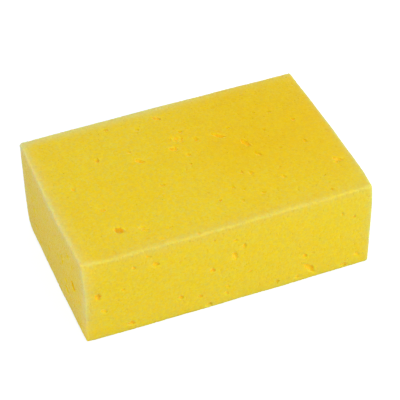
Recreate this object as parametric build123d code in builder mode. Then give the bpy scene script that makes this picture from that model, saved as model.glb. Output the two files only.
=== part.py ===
from build123d import *
import math
import os
import random

# Decorator's foam sponge: one rectangular block of open-cell foam, sawn square on all six sides.
# The saw opens the larger gas bubbles, so every face carries scattered voids, mostly lens shaped
# and leaning the same way.
#
# Frame: origin at the centre of the bottom face, +X along the length, +Y across the width
# towards the back, +Z up. Millimetres and degrees.

# Block
LENGTH = 170.0  # along X
WIDTH = 110.0  # along Y
HEIGHT = 60.0  # along Z
EDGE_SOFTENING = 1.0  # radius of the sawn edges

# Scattered voids: sizes
LONG_SIDE_MIN = 1.7
LONG_SIDE_MAX = 9.0
LONG_SIDE_SPREAD = 0.75  # spread of the logarithm of the long side; most voids are small
SHORT_SIDE_MIN = 1.5
SLENDERNESS_RANGE = (1.15, 2.5)  # long side over short side
SINK_RANGE = (-0.3, 0.45)  # sink is explained at the tables below
LEAN = -48.0  # usual direction of the long side on its face
LEAN_SPREAD = 20.0

# Scattered voids: places
FACE_AREA_PER_VOID = 450.0  # mm2
CENTRE_TO_EDGE = 3.0  # least distance from a void's centre to the face's edge
RIM_TO_EDGE = 1.0  # least foam left between a void and the face's edge
VOID_GAP = 1.2  # least foam left between two voids
CLEAR_CENTRE = 8.0  # radius without voids at the centre of the face

# The six faces, each seen from outside, with its own x to the right and its own y upwards
TOP = Plane(origin=(0, 0, HEIGHT), x_dir=(1, 0, 0), z_dir=(0, 0, 1))
BOTTOM = Plane(origin=(0, 0, 0), x_dir=(1, 0, 0), z_dir=(0, 0, -1))
FRONT = Plane(origin=(0, -WIDTH / 2, HEIGHT / 2), x_dir=(1, 0, 0), z_dir=(0, -1, 0))
BACK = Plane(origin=(0, WIDTH / 2, HEIGHT / 2), x_dir=(-1, 0, 0), z_dir=(0, 1, 0))
LEFT = Plane(origin=(-LENGTH / 2, 0, HEIGHT / 2), x_dir=(0, -1, 0), z_dir=(-1, 0, 0))
RIGHT = Plane(origin=(LENGTH / 2, 0, HEIGHT / 2), x_dir=(0, 1, 0), z_dir=(1, 0, 0))

# Placed voids of the top and front faces: distance from the face's left side, distance from its
# lower side, opening's length, opening's width, direction of the long side, and sink, which is
# how far the bubble's centre lies under the face as a share of its short radius. A negative sink
# makes a shallow scoop, and a positive one leaves an overhanging lip.
TOP_VOIDS = [
    (28.0, 19.5, 6.0, 4.0, -40, 0.50), (40.5, 15.5, 7.5, 3.2, -48, -0.30),
    (47.5, 4.4, 4.5, 2.4, -10, -0.35), (58.0, 68.0, 5.5, 2.4, -45, 0.35),
    (79.0, 70.5, 5.2, 3.0, -25, 0.15), (84.0, 77.3, 8.6, 4.6, -35, -0.70),
    (88.2, 83.4, 3.2, 2.2, -20, 0.00), (80.0, 99.5, 5.5, 2.8, -38, 0.30),
    (94.5, 73.5, 4.0, 2.4, -70, 0.00), (107.5, 71.5, 8.0, 2.8, -42, 0.25),
    (119.0, 60.0, 7.5, 3.0, -68, 0.10), (122.0, 48.5, 5.0, 2.2, -55, 0.00),
    (161.5, 27.5, 6.5, 2.4, -45, 0.20), (36.0, 77.5, 3.4, 2.6, -80, 0.30),
    (55.0, 77.5, 2.2, 1.8, 0, 0.30), (153.0, 69.0, 2.8, 2.2, -30, 0.35),
    (107.0, 37.5, 1.8, 1.5, 0, 0.45), (111.8, 35.3, 3.4, 2.2, -60, -0.20),
    (87.0, 20.5, 1.6, 1.5, 0, 0.50), (25.5, 37.5, 3.0, 2.0, -20, 0.15),
    (62.5, 44.0, 2.8, 2.0, -10, 0.15), (127.5, 25.5, 3.5, 2.4, -50, -0.20),
    (16.0, 60.0, 2.4, 2.0, -40, 0.10), (115.0, 76.0, 2.0, 1.6, 0, 0.10),
    (143.0, 80.5, 2.4, 2.0, -60, 0.00), (151.0, 49.0, 3.6, 1.8, 85, 0.00),
    (85.5, 62.5, 2.6, 2.2, -30, -0.10), (49.5, 101.0, 2.8, 2.4, -40, -0.10),
    (83.5, 55.0, 2.0, 1.7, 0, 0.10), (98.5, 16.0, 2.6, 2.0, -45, -0.10),
    (147.5, 6.0, 2.2, 1.8, -30, 0.00),
]
FRONT_VOIDS = [
    (7.0, 34.5, 4.6, 3.6, -60, 0.30), (26.0, 6.5, 4.0, 2.8, -10, 0.40),
    (37.0, 54.5, 3.0, 2.2, -30, 0.00), (41.0, 47.5, 4.0, 3.0, -45, 0.00),
    (28.5, 49.0, 2.8, 2.2, -20, 0.00), (55.0, 15.7, 3.8, 2.2, -42, 0.25),
    (66.5, 12.0, 2.8, 2.2, -30, 0.10), (72.0, 3.2, 4.2, 2.2, -8, 0.30),
    (74.0, 30.0, 2.8, 2.4, -60, 0.30), (82.0, 8.5, 2.8, 2.2, -30, 0.10),
    (87.0, 36.6, 6.5, 3.4, -75, -0.10), (92.6, 42.4, 4.0, 2.2, 90, 0.00),
    (87.0, 48.5, 2.2, 1.8, 0, 0.00), (113.5, 5.7, 1.8, 1.6, 0, 0.50),
    (129.5, 20.0, 3.0, 2.4, -40, 0.20), (132.8, 9.4, 10.5, 3.2, -52, 0.35),
    (125.3, 5.2, 2.6, 2.0, -40, 0.00), (154.5, 3.2, 4.2, 2.3, -8, 0.40),
    (162.0, 8.5, 4.2, 2.8, 0, -0.20), (10.5, 22.0, 4.2, 2.6, -50, -0.20),
    (22.0, 35.0, 2.2, 1.8, 0, 0.00), (96.0, 20.5, 2.4, 1.8, 0, 0.10),
    (159.0, 40.0, 2.4, 2.0, -60, 0.10),
]


def scattered_voids(width, height, seed):
    """Random voids for one face, in the tables' columns, none touching another."""
    dice = random.Random(seed)
    wanted = round(width * height / FACE_AREA_PER_VOID)
    found = []
    while len(found) < wanted:
        # The order of the draws fixes the pattern that a seed gives
        growth = math.exp(abs(dice.gauss(0.0, LONG_SIDE_SPREAD)))
        long_side = min(LONG_SIDE_MAX, LONG_SIDE_MIN * growth)
        short_side = max(SHORT_SIDE_MIN, long_side / dice.uniform(*SLENDERNESS_RANGE))
        x = dice.uniform(CENTRE_TO_EDGE, width - CENTRE_TO_EDGE)
        y = dice.uniform(CENTRE_TO_EDGE, height - CENTRE_TO_EDGE)
        angle = dice.gauss(LEAN, LEAN_SPREAD)
        sink = dice.uniform(*SINK_RANGE)

        reach = long_side / 2
        if min(x, width - x, y, height - y) < reach + RIM_TO_EDGE:
            continue
        if math.hypot(x - width / 2, y - height / 2) < reach + CLEAR_CENTRE:
            continue
        if all(
            math.hypot(x - other_x, y - other_y) > reach + other_long / 2 + VOID_GAP
            for other_x, other_y, other_long, *_ in found
        ):
            found.append((x, y, long_side, short_side, angle, sink))
    return found


def bubble(face, width, height, void):
    """The gas bubble that a void is the opening of: a sphere drawn out along the void."""
    x, y, long_side, short_side, angle, sink = void
    opened = math.sqrt(1.0 - sink * sink)  # the opening's share of the bubble's full size
    long_radius = long_side / 2 / opened
    short_radius = short_side / 2 / opened
    with BuildPart() as gas:
        Sphere(1.0)
        scale(by=(long_radius, short_radius, short_radius))
    centre = Location((x - width / 2, y - height / 2, -sink * short_radius), (0, 0, angle))
    return gas.part.moved(face.location * centre)


# Face, its size along its own x and y, and its voids
FACES = [
    (TOP, LENGTH, WIDTH, TOP_VOIDS),
    (FRONT, LENGTH, HEIGHT, FRONT_VOIDS),
    (BOTTOM, LENGTH, WIDTH, scattered_voids(LENGTH, WIDTH, seed=11)),
    (BACK, LENGTH, HEIGHT, scattered_voids(LENGTH, HEIGHT, seed=12)),
    (LEFT, WIDTH, HEIGHT, scattered_voids(WIDTH, HEIGHT, seed=13)),
    (RIGHT, WIDTH, HEIGHT, scattered_voids(WIDTH, HEIGHT, seed=14)),
]
bubbles_by_face = [
    [bubble(face, width, height, void) for void in voids] for face, width, height, voids in FACES
]

with BuildPart() as foam_block:
    Box(LENGTH, WIDTH, HEIGHT, align=(Align.CENTER, Align.CENTER, Align.MIN))
    fillet(foam_block.edges(), EDGE_SOFTENING)
    for bubbles in bubbles_by_face:
        add(bubbles, mode=Mode.SUBTRACT)

foam_block.part.label = "foam_block"

os.makedirs("parts", exist_ok=True)
export_step(foam_block.part, "parts/foam_block.step")
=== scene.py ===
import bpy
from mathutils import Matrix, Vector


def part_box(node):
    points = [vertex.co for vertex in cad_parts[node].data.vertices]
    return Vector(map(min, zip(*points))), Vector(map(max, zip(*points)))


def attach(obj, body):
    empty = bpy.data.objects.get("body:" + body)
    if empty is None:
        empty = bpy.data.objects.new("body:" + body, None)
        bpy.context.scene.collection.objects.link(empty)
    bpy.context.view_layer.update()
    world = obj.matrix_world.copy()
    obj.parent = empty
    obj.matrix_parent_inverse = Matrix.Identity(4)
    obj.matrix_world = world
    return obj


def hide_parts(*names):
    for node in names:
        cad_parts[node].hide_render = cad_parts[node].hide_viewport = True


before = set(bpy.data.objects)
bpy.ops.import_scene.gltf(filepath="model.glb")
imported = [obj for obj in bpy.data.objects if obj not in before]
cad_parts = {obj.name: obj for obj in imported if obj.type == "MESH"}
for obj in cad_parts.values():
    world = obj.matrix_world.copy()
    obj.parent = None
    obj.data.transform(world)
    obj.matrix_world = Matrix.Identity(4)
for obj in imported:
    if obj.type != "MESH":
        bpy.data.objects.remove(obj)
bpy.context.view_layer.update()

import math
import random
from itertools import product

import bpy
import numpy as np
import openvdb as vdb
from mathutils import Matrix, Vector

LOW, HIGH = (np.array(c, float) * 1000 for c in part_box("foam_block"))
LENGTH, WIDTH, HEIGHT = HIGH - LOW
HALF_L, HALF_W, HALF_H = LENGTH / 2, WIDTH / 2, HEIGHT / 2
STEP = 0.40  # distance between the field's samples
PAD = 2.4  # room round the block in the field
PROUD = 0.22  # how far the cell walls stand out, so that the cells' mean is the sawn surface
SOFT = 1.3  # radius of the sawn edges
FOOT = 0.30  # the underside stands this far up, so that only its cell walls touch the ground
CELL = 1.15  # mean size of the foam's cells
BODY_SLAB, FROTH_SLAB = 48, 64  # samples along x worked on at a time

# The saw and the foam's own spring leave the block slightly out of square: how far each corner
# is from the true box, for (left/right, front/back, bottom/top).
CORNERS = {
    (0, 1, 1): (0.10, 0.85, 0.45),
    (1, 1, 1): (-0.50, 0.65, 0.25),
    (1, 0, 1): (0.70, -1.21, -0.98),
    (0, 0, 1): (-0.35, -0.80, -1.05),
    (0, 0, 0): (-0.40, 1.55, 0.0),
    (1, 0, 0): (0.56, 0.55, 0.0),
    (0, 1, 0): (-0.25, -0.90, 0.0),
    (1, 1, 0): (0.20, -0.40, 0.0),
}

# Corners and edges that handling has pressed or pulled: place on the box (-1 to 1 across, 0 to 1
# up), how far it is moved, and how far that reaches
PRESSED = [
    ((-1, -1, 1), (0.0, 2.3, -0.3), 8.0),
    ((1, -1, 1), (-0.8, 0.3, 0.0), 8.0),
    ((-1, 1, 0), (0.5, 0.0, 0.8), 6.0),
    ((-1, -0.1, 1), (-0.8, 0.0, 0.0), 34.0),
    ((-1, -1, 0.6), (0.8, 0.0, 0.0), 16.0),
]

# Bubbles opened in the top and front faces: distance from the face's left side and from its
# lower side, opening's length and width, direction of its long side in degrees, and sink (how
# far the bubble's centre lies under the face, as a share of its radius)
TOP_VOIDS = [
    (28.0, 19.5, 6.0, 4.0, -40, 0.5), (40.5, 15.5, 7.5, 3.2, -48, -0.3),
    (47.5, 4.4, 4.5, 2.4, -10, -0.35), (58.0, 68.0, 5.5, 2.4, -45, 0.35),
    (79.0, 70.5, 5.2, 3.0, -25, 0.15), (84.0, 77.3, 8.6, 4.6, -35, -0.7),
    (88.2, 83.4, 3.2, 2.2, -20, 0.0), (80.0, 99.5, 5.5, 2.8, -38, 0.3),
    (94.5, 73.5, 4.0, 2.4, -70, 0.0), (107.5, 71.5, 8.0, 2.8, -42, 0.25),
    (119.0, 60.0, 7.5, 3.0, -68, 0.1), (122.0, 48.5, 5.0, 2.2, -55, 0.0),
    (161.5, 27.5, 6.5, 2.4, -45, 0.2), (36.0, 77.5, 3.4, 2.6, -80, 0.3),
    (55.0, 77.5, 2.2, 1.8, 0, 0.3), (153.0, 69.0, 2.8, 2.2, -30, 0.35),
    (107.0, 37.5, 1.8, 1.5, 0, 0.45), (111.8, 35.3, 3.4, 2.2, -60, -0.2),
    (87.0, 20.5, 1.6, 1.5, 0, 0.5), (25.5, 37.5, 3.0, 2.0, -20, 0.15),
    (62.5, 44.0, 2.8, 2.0, -10, 0.15), (127.5, 25.5, 3.5, 2.4, -50, -0.2),
    (16.0, 60.0, 2.4, 2.0, -40, 0.1), (115.0, 76.0, 2.0, 1.6, 0, 0.1),
    (143.0, 80.5, 2.4, 2.0, -60, 0.0), (151.0, 49.0, 3.6, 1.8, 85, 0.0),
    (85.5, 62.5, 2.6, 2.2, -30, -0.1), (49.5, 101.0, 2.8, 2.4, -40, -0.1),
    (83.5, 55.0, 2.0, 1.7, 0, 0.1), (98.5, 16.0, 2.6, 2.0, -45, -0.1),
    (147.5, 6.0, 2.2, 1.8, -30, 0.0),
]
FRONT_VOIDS = [
    (7.0, 34.5, 4.6, 3.6, -60, 0.3), (26.0, 6.5, 4.0, 2.8, -10, 0.4),
    (37.0, 54.5, 3.0, 2.2, -30, 0.0), (41.0, 47.5, 4.0, 3.0, -45, 0.0),
    (28.5, 49.0, 2.8, 2.2, -20, 0.0), (55.0, 15.7, 3.8, 2.2, -42, 0.25),
    (66.5, 12.0, 2.8, 2.2, -30, 0.1), (72.0, 3.2, 4.2, 2.2, -8, 0.3),
    (74.0, 30.0, 2.8, 2.4, -60, 0.3), (82.0, 8.5, 2.8, 2.2, -30, 0.1),
    (87.0, 36.6, 6.5, 3.4, -75, -0.1), (92.6, 42.4, 4.0, 2.2, 90, 0.0),
    (87.0, 48.5, 2.2, 1.8, 0, 0.0), (113.5, 5.7, 1.8, 1.6, 0, 0.5),
    (129.5, 20.0, 3.0, 2.4, -40, 0.2), (132.8, 9.4, 10.5, 3.2, -52, 0.35),
    (125.3, 5.2, 2.6, 2.0, -40, 0.0), (154.5, 3.2, 4.2, 2.3, -8, 0.4),
    (162.0, 8.5, 4.2, 2.8, 0, -0.2), (10.5, 22.0, 4.2, 2.6, -50, -0.2),
    (22.0, 35.0, 2.2, 1.8, 0, 0.0), (96.0, 20.5, 2.4, 1.8, 0, 0.1),
    (159.0, 40.0, 2.4, 2.0, -60, 0.1),
]

# Two openings meet behind a thread of foam at these places
THREADS = ((-84.9, 54.55, 59.15), (-34.2, -43.95, 0.35))
PLUG_RADIUS = 0.6

# The faces: centre, right, up and outward directions, width and height, seen from outside
FACES = {
    "top": ((0, 0, HEIGHT), (1, 0, 0), (0, 1, 0), (0, 0, 1), LENGTH, WIDTH),
    "front": ((0, -HALF_W, HALF_H), (1, 0, 0), (0, 0, 1), (0, -1, 0), LENGTH, HEIGHT),
    "bottom": ((0, 0, 0), (1, 0, 0), (0, -1, 0), (0, 0, -1), LENGTH, WIDTH),
    "back": ((0, HALF_W, HALF_H), (-1, 0, 0), (0, 0, 1), (0, 1, 0), LENGTH, HEIGHT),
    "left": ((-HALF_L, 0, HALF_H), (0, -1, 0), (0, 0, 1), (-1, 0, 0), WIDTH, HEIGHT),
    "right": ((HALF_L, 0, HALF_H), (0, 1, 0), (0, 0, 1), (1, 0, 0), WIDTH, HEIGHT),
}


def scattered_voids(width, height, seed):
    """Voids for a face that isn't listed: one to 450 mm2, clear of the rim, middle and others."""
    dice = random.Random(seed)
    found = []
    wanted = round(width * height / 450.0)
    while len(found) < wanted:
        long_side = min(9.0, 1.7 * math.exp(abs(dice.gauss(0.0, 0.75))))
        short_side = max(1.5, long_side / dice.uniform(1.15, 2.5))
        x = dice.uniform(3.0, width - 3.0)
        y = dice.uniform(3.0, height - 3.0)
        angle = dice.gauss(-48.0, 20.0)
        sink = dice.uniform(-0.3, 0.45)
        reach = long_side / 2
        if min(x, width - x, y, height - y) < reach + 1.0:
            continue
        if math.hypot(x - width / 2, y - height / 2) < reach + 8.0:
            continue
        if all(
            math.hypot(x - other[0], y - other[1]) > reach + other[2] / 2 + 1.2
            for other in found
        ):
            found.append((x, y, long_side, short_side, angle, sink))
    return found


VOIDS = {
    "top": TOP_VOIDS,
    "front": FRONT_VOIDS,
    "bottom": scattered_voids(LENGTH, WIDTH, seed=11),
    "back": scattered_voids(LENGTH, HEIGHT, seed=12),
    "left": scattered_voids(WIDTH, HEIGHT, seed=13),
    "right": scattered_voids(WIDTH, HEIGHT, seed=14),
}


# ---------------------------------------------------------------- the sawn body
def straighten(x, y, z):
    """Takes a point of the real, slightly crooked block to the same point of the true box."""
    u = np.clip((x + HALF_L) / LENGTH, 0, 1)
    v = np.clip((y + HALF_W) / WIDTH, 0, 1)
    w = np.clip(z / HEIGHT, 0, 1)
    nearness = [
        np.exp(
            -((x - i * HALF_L) ** 2 + (y - j * HALF_W) ** 2 + (z - k * HEIGHT) ** 2) / reach**2
        )
        for (i, j, k), _, reach in PRESSED
    ]
    out = []
    for axis, coordinate in enumerate((x, y, z)):
        shift = sum(near * move[axis] for near, (_, move, _) in zip(nearness, PRESSED))
        for (i, j, k), offset in CORNERS.items():
            shift = shift + (
                offset[axis] * (u if i else 1 - u) * (v if j else 1 - v) * (w if k else 1 - w)
            )
        out.append(coordinate - shift)
    return out


def crown(axis, x, y, z):
    """How far a face stands proud of the true box: cut foam bows out between corners."""
    bow_x = 1 - (x / HALF_L) ** 2
    bow_y = 1 - (y / HALF_W) ** 2
    bow_z = 1 - ((z - HALF_H) / HALF_H) ** 2
    if axis == "x":
        return np.where(x > 0, 0.60, 0.30) * bow_y + 0.15 * bow_z
    if axis == "y":
        return np.where(y > 0, 0.12, 0.52) * bow_x + 0.15 * bow_z
    return 0.36 * bow_x + 0.25 * bow_y


def sawn_body(x, y, z):
    """Distance to the sawn block's surface, negative inside."""
    x, y, z = straighten(x, y, z)
    # shallow unevenness of the cut: three crossing waves, the longest the highest
    wave = (
        0.10 * np.sin(x / 7.3 + 1.1 * np.sin(y / 9.1) + z / 11.0)
        + 0.07 * np.sin(y / 4.7 - x / 12.7 + 0.8 * np.sin(z / 5.3))
        + 0.05 * np.sin(z / 3.9 + y / 8.3 + x / 5.9)
    )
    top = HEIGHT + crown("z", x, y, z)
    past_x = np.abs(x) - (HALF_L + crown("x", x, y, z) - SOFT)
    past_y = np.abs(y) - (HALF_W + crown("y", x, y, z) - SOFT)
    past_z = np.abs(z - (top + FOOT) / 2) - ((top - FOOT) / 2 - SOFT)
    outside = np.sqrt(
        np.maximum(past_x, 0) ** 2 + np.maximum(past_y, 0) ** 2 + np.maximum(past_z, 0) ** 2
    )
    inside = np.minimum(np.maximum(np.maximum(past_x, past_y), past_z), 0)
    return outside + inside - SOFT + 0.5 * wave - PROUD


start = LOW - PAD
count = np.ceil((HIGH - LOW + 2 * PAD) / STEP).astype(int) + 1
grid_x, grid_y, grid_z = (
    start[i] + STEP * np.arange(count[i], dtype=np.float32) for i in range(3)
)


def samples(i, j, k):
    """The x, y and z of a box of the field's samples, ready to combine."""
    return grid_x[i, None, None], grid_y[None, j, None], grid_z[None, None, k]


field = np.empty(tuple(count), np.float32)
for a in range(0, count[0], BODY_SLAB):
    slab = slice(a, a + BODY_SLAB)
    field[slab] = sawn_body(*samples(slab, slice(None), slice(None)))


# ---------------------------------------------------------------- the bubbles
def carve(centre, axes, radii, phases):
    """Opens a bubble: an ellipsoid with slightly uneven walls."""
    reach = float(max(radii)) * 1.3 + 1.2
    span = []
    for i in range(3):
        first = max(0, int((centre[i] - reach - start[i]) / STEP))
        last = min(count[i], int((centre[i] + reach - start[i]) / STEP) + 2)
        if last <= first:
            return
        span.append(slice(first, last))
    x, y, z = straighten(*samples(*span))
    away = [x - centre[0], y - centre[1], z - centre[2]]
    local = [sum(away[j] * axes[i][j] for j in range(3)) for i in range(3)]
    wobble = (
        1
        + 0.10 * np.sin(phases[0] + 1.9 * local[0] + 1.3 * local[1])
        + 0.10 * np.sin(phases[1] + 2.3 * local[1] - 1.7 * local[2])
        + 0.08 * np.sin(phases[2] + 3.1 * local[0] - 2.2 * local[2])
    )
    ratio = np.sqrt(sum((local[i] / (radii[i] * wobble)) ** 2 for i in range(3)))
    slope = np.sqrt(sum((local[i] / (radii[i] * wobble) ** 2) ** 2 for i in range(3)))
    bubble = ratio * (ratio - 1) / np.maximum(slope, 1e-6)
    part = field[span[0], span[1], span[2]]
    np.maximum(part, -bubble, out=part)


def bubble_place(name, x, y, angle, lift):
    """A bubble's centre, lifted off its bowed face, and its axes: along, across, outward."""
    *directions, width, height = FACES[name]
    middle, right, up, outward = (np.array(q, float) for q in directions)
    turn = math.radians(angle)
    along = math.cos(turn) * right + math.sin(turn) * up
    across = -math.sin(turn) * right + math.cos(turn) * up
    on_face = middle + (x - width / 2) * right + (y - height / 2) * up
    axis = "xyz"[int(np.argmax(np.abs(outward)))]
    rise = crown(axis, *on_face) if name != "bottom" else 0
    return on_face + outward * (rise + lift), (along, across, outward)


dice = random.Random(2031)
for name in FACES:
    for x, y, long_side, short_side, angle, sink in VOIDS[name]:
        opened = math.sqrt(1 - sink * sink)
        long_radius, radius = long_side / 2 / opened, short_side / 2 / opened
        centre, axes = bubble_place(name, x, y, angle, lift=-sink * radius)
        along, across, outward = axes
        phases = [dice.uniform(0, 6.28) for _ in range(3)]
        carve(centre, axes, (long_radius, radius, radius * 0.9), phases)
        # smaller neighbours that ran into it make the outline uneven
        for _ in range(1 if long_side < 3.5 else 2):
            shift = dice.uniform(-0.55, 0.55)
            small = radius * dice.uniform(0.55, 0.8)
            nearby = (
                centre
                + along * shift * long_radius
                + across * dice.uniform(-0.4, 0.4) * radius
                - outward * dice.uniform(0, 0.3) * radius
            )
            radii = (small * dice.uniform(1.0, 1.4), small, small)
            carve(nearby, axes, radii, [dice.uniform(0, 6.28) for _ in range(3)])

# Middling bubbles, all over
MIDDLING_PER_MM2 = 0.0022
spread = np.random.default_rng(77)
for name, (*_, width, height) in FACES.items():
    for _ in range(int(width * height * MIDDLING_PER_MM2)):
        x, y = spread.uniform(0.5, width - 0.5), spread.uniform(0.5, height - 0.5)
        radius = min(0.45 + 0.28 * spread.exponential(), 1.25)
        angle = spread.normal(-48, 30)
        lift = radius * spread.uniform(0.2, 0.75)
        centre, axes = bubble_place(name, x, y, angle, lift)
        radii = (radius * spread.uniform(1.0, 1.7), radius, radius)
        carve(centre, axes, radii, spread.uniform(0, 6.28, 3))

# ---------------------------------------------------------------- the cells
# A Voronoi froth of about a millimetre, each cell opened to its own depth
cells_start = LOW - PAD - 2 * CELL
cells_count = np.ceil((HIGH - LOW + 2 * PAD) / CELL).astype(int) + 5
froth = np.random.default_rng(4242)
seeds = froth.random((*cells_count, 3), dtype=np.float32).reshape(-1, 3)
depths = np.clip(froth.lognormal(-0.12, 0.40, len(seeds)), 0.30, 1.7).astype(np.float32)


def froth_depth(points):
    """How deep the froth is open: nothing on a cell wall, most at a cell's middle."""
    at = (points - cells_start) / CELL
    home = np.floor(at).astype(np.int32)
    at = at.astype(np.float32)
    near = np.full(len(points), 9.0, np.float32)
    second = np.full(len(points), 9.0, np.float32)
    nearest = np.zeros(len(points), np.int32)
    for step in product((-1, 0, 1), repeat=3):
        cell = home + np.array(step, np.int32)
        row = (cell[:, 0] * cells_count[1] + cell[:, 1]) * cells_count[2] + cell[:, 2]
        off = cell + seeds[row] - at
        distance = np.sqrt(np.einsum("ij,ij->i", off, off))
        closer = distance < near
        second = np.where(closer, near, np.minimum(second, distance))
        nearest = np.where(closer, row, nearest)
        near = np.where(closer, distance, near)
    return np.minimum(second - near, 0.75) * depths[nearest] * CELL


for a in range(0, count[0], FROTH_SLAB):
    part = field[a : a + FROTH_SLAB]
    rows = np.nonzero(np.abs(part) < 1.1)  # only samples close to the surface
    slab_x = grid_x[a : a + FROTH_SLAB]
    points = np.stack([slab_x[rows[0]], grid_y[rows[1]], grid_z[rows[2]]], axis=1)
    part[rows] += 0.55 * froth_depth(points)

# The threads' places are filled in, so that the skin has no very thin loops.
for spot in THREADS:
    nearest = np.round((np.array(spot) - start) / STEP).astype(int)
    box = tuple(slice(n - 3, n + 4) for n in nearest)
    x, y, z = samples(*box)
    away = np.sqrt((x - spot[0]) ** 2 + (y - spot[1]) ** 2 + (z - spot[2]) ** 2)
    field[box] = np.minimum(field[box], away - PLUG_RADIUS)


# ---------------------------------------------------------------- the mesh
def outer_skin(points, quads):
    """Keeps the largest connected piece: loose crumbs and closed bubbles inside go."""
    label = np.arange(len(points))
    edges = np.concatenate([quads[:, [i, (i + 1) % 4]] for i in range(4)])
    while True:
        low = np.minimum(label[edges[:, 0]], label[edges[:, 1]])
        new = label.copy()
        np.minimum.at(new, edges[:, 0], low)
        np.minimum.at(new, edges[:, 1], low)
        new = new[new]
        new = new[new]
        if np.array_equal(new, label):
            break
        label = new
    skin = np.bincount(label).argmax()
    quads = quads[label[quads[:, 0]] == skin]
    used, quads = np.unique(quads, return_inverse=True)
    return points[used], quads.reshape(-1, 4)


def side_uvs(corner):
    """One flat island for each side of the block, from the quads' corners about its middle."""
    x, y, z = corner.mean(axis=1).T
    side = np.argmin(
        np.stack([HALF_L - x, HALF_L + x, HALF_W - y, HALF_W + y, HALF_H - z, HALF_H + z]),
        axis=0,
    )
    gap = 3.0
    full_width = 2 * LENGTH + 3 * gap
    full_height = WIDTH + 2 * HEIGHT + 4 * gap
    column_1, column_2 = gap + HALF_L, 2 * gap + 3 * HALF_L
    row_1, row_2 = gap + HALF_W, 2 * gap + WIDTH + HALF_H
    row_3 = 3 * gap + WIDTH + 3 * HALF_H
    # in the order of side: right axis and its sign, up axis, island's centre
    islands = [
        (1, 1, 2, 2 * gap + 3 * HALF_W, row_3),  # right
        (1, -1, 2, gap + HALF_W, row_3),  # left
        (0, -1, 2, column_2, row_2),  # back
        (0, 1, 2, column_1, row_2),  # front
        (0, 1, 1, column_1, row_1),  # top
        (0, -1, 1, column_2, row_1),  # bottom
    ]
    uv = np.empty((len(corner), 4, 2))
    for s, (across, sign, up, centre_x, centre_y) in enumerate(islands):
        at = side == s
        uv[at, :, 0] = (centre_x + sign * corner[at][:, :, across]) / full_width
        uv[at, :, 1] = (centre_y + corner[at][:, :, up]) / full_height
    return uv


grid = vdb.FloatGrid(2.0)
grid.copyFromArray(field)
points, quads = grid.convertToQuads(0.0)
points = (start + STEP * points).astype(np.float64)
points, quads = outer_skin(points, np.asarray(quads, np.int64))
points[:, 2] = np.maximum(points[:, 2], 0.0)

mesh = bpy.data.meshes.new("sponge")
mesh.vertices.add(len(points))
mesh.vertices.foreach_set("co", (points / 1000).astype(np.float32).ravel())
mesh.loops.add(quads.size)
mesh.loops.foreach_set("vertex_index", quads.astype(np.int32).ravel())
mesh.polygons.add(len(quads))
mesh.polygons.foreach_set("loop_start", np.arange(0, quads.size, 4, dtype=np.int32))
mesh.polygons.foreach_set("use_smooth", np.ones(len(quads), bool))
mesh.update(calc_edges=True)
mesh.validate()

# a negative volume means that the quads wind inwards
first, second, third, fourth = (points[quads[:, i]] for i in range(4))
volume = (
    np.einsum("ij,ij->i", first, np.cross(second, third)).sum()
    + np.einsum("ij,ij->i", first, np.cross(third, fourth)).sum()
)
if volume < 0:
    mesh.flip_normals()

# how deep each point lies under the sawn surface, and how far from the nearest edge
x, y, z = points.T
depth = -sawn_body(x, y, z)
x, y, z = straighten(x, y, z)
walls = [HALF_L - np.abs(x), HALF_W - np.abs(y), HALF_H - np.abs(z - HALF_H)]
edge = np.sort(np.stack(walls), axis=0)[1]
for key, value in (("depth_mm", depth), ("edge_mm", edge)):
    layer = mesh.attributes.new(key, "FLOAT", "POINT")
    layer.data.foreach_set("value", value.astype(np.float32))

uv = side_uvs(np.stack([x, y, z - HALF_H], axis=1)[quads])
if volume < 0:
    uv = uv[:, [0, 3, 2, 1]]
mesh.uv_layers.new(name="OFBake").data.foreach_set("uv", uv.astype(np.float32).ravel())

sponge = bpy.data.objects.new("sponge_block", mesh)
bpy.context.scene.collection.objects.link(sponge)


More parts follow.
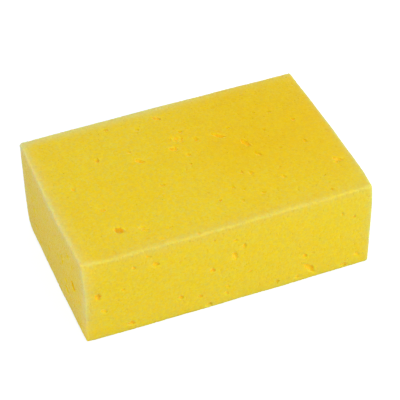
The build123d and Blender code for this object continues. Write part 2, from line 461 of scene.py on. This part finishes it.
# ---------------------------------------------------------------- materials
class Net:
    """A node tree with short ways to add nodes; an input is a value or a socket to link."""

    def __init__(self, tree):
        self.tree = tree

    def node(self, kind, inputs=None, **settings):
        new = self.tree.nodes.new(kind)
        for key, value in settings.items():
            setattr(new, key, value)
        for key, value in (inputs or {}).items():
            if isinstance(value, bpy.types.NodeSocket):
                self.tree.links.new(value, new.inputs[key])
            else:
                new.inputs[key].default_value = value
        return new

    def maths(self, operation, a, b=0.0, clamp=False):
        inputs = {0: a, 1: b}
        return self.node(
            "ShaderNodeMath", inputs, operation=operation, use_clamp=clamp
        ).outputs[0]

    def add(self, a, b, clamp=False):
        return self.maths("ADD", a, b, clamp)

    def times(self, a, b):
        return self.maths("MULTIPLY", a, b)

    def scaled(self, value, by, plus):
        return self.add(self.times(value, by), plus)

    def decay(self, value, rate):
        return self.maths("EXPONENT", self.times(value, rate))

    def vector(self, operation, a, b=(0, 0, 0), output="Vector"):
        return self.node("ShaderNodeVectorMath", {0: a, 1: b}, operation=operation).outputs[output]

    def ramp(self, value, over, to=(0.0, 1.0)):
        """Eases from to[0] to to[1] while the value goes over the range."""
        inputs = {
            "Value": value, "From Min": over[0], "From Max": over[1],
            "To Min": to[0], "To Max": to[1],
        }
        return self.node(
            "ShaderNodeMapRange", inputs, interpolation_type="SMOOTHSTEP"
        ).outputs["Result"]

    def blend(self, share, a, b, mode="MIX"):
        inputs = {0: share, 6: a, 7: b}
        return self.node(
            "ShaderNodeMix", inputs, data_type="RGBA", blend_type=mode
        ).outputs[2]

    def noise(self, place, scale, detail=2.0, roughness=0.5):
        inputs = {"Vector": place, "Scale": scale, "Detail": detail, "Roughness": roughness}
        return self.node("ShaderNodeTexNoise", inputs).outputs["Fac"]

    def voronoi(self, place, scale, output="Distance", feature="F1"):
        inputs = {"Vector": place, "Scale": scale}
        return self.node("ShaderNodeTexVoronoi", inputs, feature=feature).outputs[output]

    def combine(self, x, y, z):
        return self.node("ShaderNodeCombineXYZ", {0: x, 1: y, 2: z}).outputs[0]

    def attribute(self, name):
        return self.node("ShaderNodeAttribute", attribute_name=name).outputs["Fac"]

    def object_place(self):
        return self.node("ShaderNodeTexCoord").outputs["Object"]

    def camera_ray(self):
        return self.node("ShaderNodeLightPath").outputs["Is Camera Ray"]

    def surface(self, **inputs):
        """The principled surface; an underscore in a name stands for a space."""
        inputs = {key.replace("_", " "): value for key, value in inputs.items()}
        skin = self.node("ShaderNodeBsdfPrincipled", inputs)
        self.node("ShaderNodeOutputMaterial", {"Surface": skin.outputs[0]})


def new_material(name):
    mat = bpy.data.materials.new(name)
    mat.use_nodes = True
    mat.node_tree.nodes.clear()
    return mat, Net(mat.node_tree)


def orange_shade_share(net, place):
    """The painted shade's strength: richest, darker and more orange, towards the top's right, and
    in broad patches of random tone.
    """
    richest, squeeze = (60.0, 15.0, 66.0), (1.0, 1.4, 2.0)
    away = net.vector("SUBTRACT", place, richest)
    away = net.vector("MULTIPLY", away, squeeze)
    away = net.vector("LENGTH", away, output="Value")
    patches = net.noise(place, scale=0.022)
    near = net.ramp(away, over=(15.0, 115.0), to=(0.80, 0.0))
    return net.add(near, net.ramp(patches, over=(0.35, 0.68), to=(0.0, 0.22)), clamp=True)


def rim_glow_share(net, x, y, z, edge, orange_shade, bleach, left_end_sheen):
    """How pale the foam is: mostly painted light shining through the thin foam at its edges,
    partly its fuzzier cut there; a little off the middle of a face, most along its edges.
    """
    broad = net.ramp(edge, over=(0.0, 24.0), to=(0.03, 0.0))
    # painted sheen: at the left end the rims pale more and wider
    broad = net.times(broad, net.scaled(left_end_sheen, by=1.6, plus=1.0))
    broad = net.times(broad, net.ramp(z, over=(4.0, 24.0), to=(0.3, 1.0)))
    rate = net.ramp(x, over=(0.2 - HALF_L, 1.5 - HALF_L), to=(-0.28, -0.42))
    strength = net.ramp(x, over=(-HALF_L, 8.0 - HALF_L), to=(0.56, 0.40))
    narrow = net.times(net.decay(edge, rate), strength)
    narrow = net.times(narrow, net.ramp(z, over=(1.0, 24.0), to=(0.32, 1.0)))
    narrow = net.times(narrow, net.ramp(bleach, over=(0.34, 0.66), to=(0.80, 1.20)))
    # strong painted shade hides both
    left_over = net.scaled(orange_shade, by=-0.60, plus=1.0)
    broad = net.times(broad, left_over)
    narrow = net.times(narrow, left_over)
    # a fine painted line of light round the right and back faces
    far = net.maths(
        "MAXIMUM",
        net.ramp(x, over=(HALF_L - 2.0, HALF_L - 0.5)),
        net.ramp(y, over=(HALF_W - 2.0, HALF_W - 0.5)),
    )
    far = net.times(far, net.times(net.decay(edge, rate=-1.2), 0.28))
    narrow = net.add(narrow, far)
    # painted light on the top's back rim, fading to the right
    back_rim = net.times(
        net.ramp(y, over=(HALF_W - 8.5, HALF_W + 1.0), to=(0.0, 0.32)),
        net.ramp(z, over=(HEIGHT - 9.0, HEIGHT - 2.0)),
    )
    back_rim = net.times(back_rim, net.ramp(x, over=(-15.0, 55.0), to=(1.0, 0.20)))
    return net.add(net.add(broad, narrow), back_rim, clamp=True)


def rim_glow_colour(net, x, y, left_end_sheen):
    # the painted light's colours along the rims, different on each side as the light falls on it
    front, back = (0.50, 0.54, 0.26, 1), (0.68, 0.75, 0.39, 1)
    right, left = (0.52, 0.67, 0.38, 1), (0.64, 0.71, 0.38, 1)
    rim = net.blend(net.ramp(y, over=(HALF_W - 12.0, HALF_W - 2.0)), front, back)
    rim = net.blend(net.ramp(x, over=(HALF_L - 5.0, HALF_L - 1.0)), rim, right)
    return net.blend(left_end_sheen, rim, left)


def foam_colour(net, place, depth, edge, fine):
    yellow, shaded_orange = (0.870, 0.638, 0.003, 1), (0.862, 0.565, 0.001, 1)
    front_lit_green, corner_pale = (0.870, 0.655, 0.013, 1), (0.800, 0.675, 0.040, 1)
    lit_wall, pit_shade_amber = (0.84, 0.70, 0.14, 1), (0.985, 0.600, 0.008, 1)
    pale = (0.590, 0.640, 0.270, 1)
    x, y, z = net.node("ShaderNodeSeparateXYZ", {0: place}).outputs

    # painted shade: the top darker and more orange towards its right; the broad patches are random
    # tone
    orange_shade = orange_shade_share(net, place)
    colour = net.blend(orange_shade, yellow, shaded_orange)
    # painted light: the front face a little lighter and greener, as more light falls on it
    front = net.ramp(y, over=(0.5 - HALF_W, 2.0 - HALF_W), to=(1.0, 0.0))
    colour = net.blend(front, colour, front_lit_green)
    # paler and greener towards the right front top corner
    from_corner = net.vector("DISTANCE", place, (HALF_L, -HALF_W, HEIGHT), output="Value")
    colour = net.blend(net.ramp(from_corner, over=(4.0, 32.0), to=(0.42, 0.0)), colour, corner_pale)

    # painted sheen: the left end paler, as it is seen at a grazing angle
    left_end_sheen = net.ramp(x, over=(3.0 - HALF_L, 12.0 - HALF_L), to=(1.0, 0.0))
    bleach = net.noise(place, scale=0.42)
    # painted light: the foam pales along its edges, where light shines through the thin foam,
    # partly its fuzzier cut there
    rim_glow = rim_glow_share(net, x, y, z, edge, orange_shade, bleach, left_end_sheen)
    colour = net.blend(rim_glow, colour, rim_glow_colour(net, x, y, left_end_sheen))

    # painted highlight where the cell walls catch the light, and painted shade in the pits: their
    # bottoms go amber, as light bounced about inside them would make them
    fade = net.scaled(orange_shade, by=-0.75, plus=1.0)
    walls = net.voronoi(place, scale=1.5, feature="DISTANCE_TO_EDGE")
    struts = net.times(net.ramp(walls, over=(0.0, 0.16), to=(0.22, 0.0)), fade)
    colour = net.blend(struts, colour, lit_wall)
    colour = net.blend(net.ramp(depth, over=(0.38, 1.5), to=(0.0, 0.62)), colour, pit_shade_amber)

    # every cell has its own tint
    cells = net.voronoi(place, scale=0.85, output="Color")
    tint = net.node("ShaderNodeSeparateColor", {0: cells}).outputs
    own = net.times(net.maths("POWER", tint[0], 2.0), 0.16)
    own = net.add(own, net.ramp(bleach, over=(0.42, 0.66), to=(0.0, 0.09)))
    colour = net.blend(net.times(own, fade), colour, pale)

    # where the foam is darker it is also more orange: red falls least
    mottle = net.noise(place, scale=0.16, detail=3.0, roughness=0.6)
    tone = net.scaled(mottle, by=0.05, plus=0.93)
    tone = net.add(tone, net.times(tint[1], 0.08))
    # painted shade: darker along the fine cells' grooves, where the bump sinks
    tone = net.times(tone, net.scaled(fine, by=-0.10, plus=1.03))
    red, blue = net.maths("POWER", tone, 0.45), net.maths("POWER", tone, 1.8)
    return net.blend(1.0, colour, net.combine(red, tone, blue), "MULTIPLY")


def foam_material():
    mat, net = new_material("foam")
    place = net.vector("MULTIPLY", net.object_place(), (1000, 1000, 1000))  # millimetres
    depth = net.attribute("depth_mm")
    edge = net.attribute("edge_mm")
    # fine cells and grain, seen as colour and as bump
    fine = net.voronoi(place, scale=1.5)
    grain = net.noise(place, scale=1.9, detail=4.0, roughness=0.65)
    height = net.add(net.times(fine, -0.7), net.times(grain, 0.6))
    bump = net.node("ShaderNodeBump", {"Height": height, "Strength": 0.55, "Distance": 0.00022})
    mat.cycles.emission_sampling = "NONE"
    net.surface(
        Base_Color=foam_colour(net, place, depth, edge, fine),
        Roughness=net.ramp(grain, over=(0.3, 0.7), to=(0.86, 1.0)),
        Specular_IOR_Level=0.06,
        Subsurface_Weight=1.0,
        Subsurface_Radius=(1.0, 0.60, 0.08),
        Subsurface_Scale=0.005,
        # light that has come through the thin walls glows faintly out of the pits
        Emission_Color=(0.92, 0.86, 0.06, 1),
        Emission_Strength=net.ramp(depth, over=(0.30, 1.5), to=(0.0, 0.11)),
        Sheen_Weight=0.80,
        Sheen_Roughness=0.30,
        Sheen_Tint=(1.0, 0.95, 0.75, 1),
        Normal=bump.outputs["Normal"],
    )
    return mat


def floor_material():
    """A near-white floor, brighter to the camera than to the light it bounces."""
    mat, net = new_material("studio_floor")
    speck = net.noise(net.object_place(), scale=60.0, detail=3.0)
    tone = net.ramp(speck, over=(0.3, 0.7), to=(0.595, 0.605))
    seen = net.camera_ray()
    tone = net.times(tone, net.ramp(seen, over=(0.0, 1.0), to=(0.72, 1.0)))
    net.surface(
        Base_Color=net.combine(tone, net.times(tone, 0.95), net.times(tone, 0.82)),
        Roughness=0.9,
        Specular_IOR_Level=0.1,
        Emission_Color=(0.80, 0.90, 1, 1),
        Emission_Strength=net.times(seen, 0.75),
    )
    return mat


mesh.materials.append(foam_material())
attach(sponge, "root")
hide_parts("foam_block")

# ---------------------------------------------------------------- studio, in metres
FLOOR_REACH = 6.0
outline = [(i * FLOOR_REACH, j * FLOOR_REACH, 0) for i, j in ((-1, -1), (1, -1), (1, 1), (-1, 1))]
floor_mesh = bpy.data.meshes.new("studio_floor")
floor_mesh.from_pydata(outline, [], [(0, 1, 2, 3)])
floor_mesh.materials.append(floor_material())
floor = bpy.data.objects.new("studio_floor", floor_mesh)
bpy.context.scene.collection.objects.link(floor)

world = bpy.data.worlds.new("studio")
bpy.context.scene.world = world
world.use_nodes = True
background = world.node_tree.nodes["Background"].inputs
background["Color"].default_value = (1.0, 1.0, 1.0, 1)
# the backdrop is brighter seen directly than as a light
sky = Net(world.node_tree)
glow = sky.ramp(sky.camera_ray(), over=(0.0, 1.0), to=(0.655, 1.0))
world.node_tree.links.new(glow, background["Strength"])

LAMP_TARGET = Vector((0, 0, 0.03))


def lamp(name, azimuth, elevation, power, colour, distance=1.6, size=0.9):
    """A round lamp facing the target; azimuth in degrees from the front towards the right."""
    light = bpy.data.lights.new(name, "AREA")
    light.shape = "DISK"
    light.size = size
    light.energy = power
    light.color = colour
    ob = bpy.data.objects.new(name, light)
    turn, tilt = math.radians(azimuth), math.radians(elevation)
    back = Vector(
        (math.sin(turn) * math.cos(tilt), -math.cos(turn) * math.cos(tilt), math.sin(tilt))
    )
    ob.location = LAMP_TARGET + back * distance
    ob.rotation_euler = back.to_track_quat("Z", "Y").to_euler()
    bpy.context.scene.collection.objects.link(ob)


lamp("key", azimuth=28, elevation=28, power=13.6, colour=(1.0, 1.0, 0.80))
lamp("fill", azimuth=-80, elevation=15, power=8.7, colour=(0.94, 0.81, 1.0))

camera_data = bpy.data.cameras.new("camera")
camera_data.sensor_width = 36
camera_data.lens = 152.115
camera = bpy.data.objects.new("camera", camera_data)
camera_place = Matrix.Translation((-0.2555005, -0.6840576, 0.6726422))
right = Vector((0.9283513, -0.3711258, -0.0207256))
up = Vector((0.2592498, 0.6065257, 0.7516090))
turned = Matrix((right, up, right.cross(up))).transposed()
camera.matrix_world = camera_place @ turned.to_4x4()
bpy.context.scene.collection.objects.link(camera)
bpy.context.scene.camera = camera
bpy.context.scene.view_settings.view_transform = "Standard"
